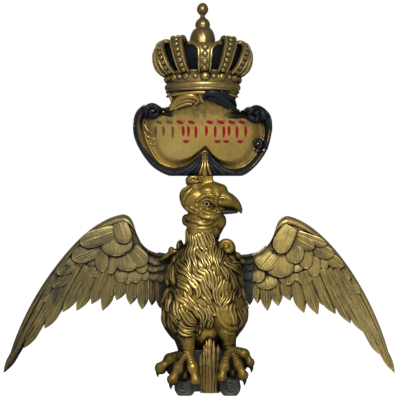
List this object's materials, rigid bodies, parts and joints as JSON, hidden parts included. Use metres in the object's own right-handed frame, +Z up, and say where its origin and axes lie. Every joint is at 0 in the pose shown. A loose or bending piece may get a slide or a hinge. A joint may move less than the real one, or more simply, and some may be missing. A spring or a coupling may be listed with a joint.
{
  "type": "torah crown",
  "caption": "Carved and gilded ark ornament: an eagle with spread wings bearing a scrolled cartouche and a crown with a turned knob.",
  "frame": {"origin": "middle of the width and depth of the whole ornament, at the level of the base scrolls' undersides", "axes": "+Z up, the front with the eagle's breast faces -Y, +X to the viewer's right"},
  "size_m": [0.9042, 0.1326, 0.9024],
  "materials": {
    "eagle_gilding": "worn bronze gilding, dark brown in the cuts",
    "left_wing_gilding": "dusty, worn gilding",
    "right_wing_gilding": "worn gilding",
    "cartouche_gilding": "satin gilding, border painted blue black, strokes painted red",
    "crown_gilding": "worn gilding, panels between the straps painted blue black",
    "finial_gilding": "turned and gilded, brown in the grooves"
  },
  "bodies": {
    "root": {"eagle": "eagle_gilding", "left_wing": "left_wing_gilding", "right_wing": "right_wing_gilding", "cartouche": "cartouche_gilding", "crown": "crown_gilding", "finial": "finial_gilding"}
  },
  "joints": []
}
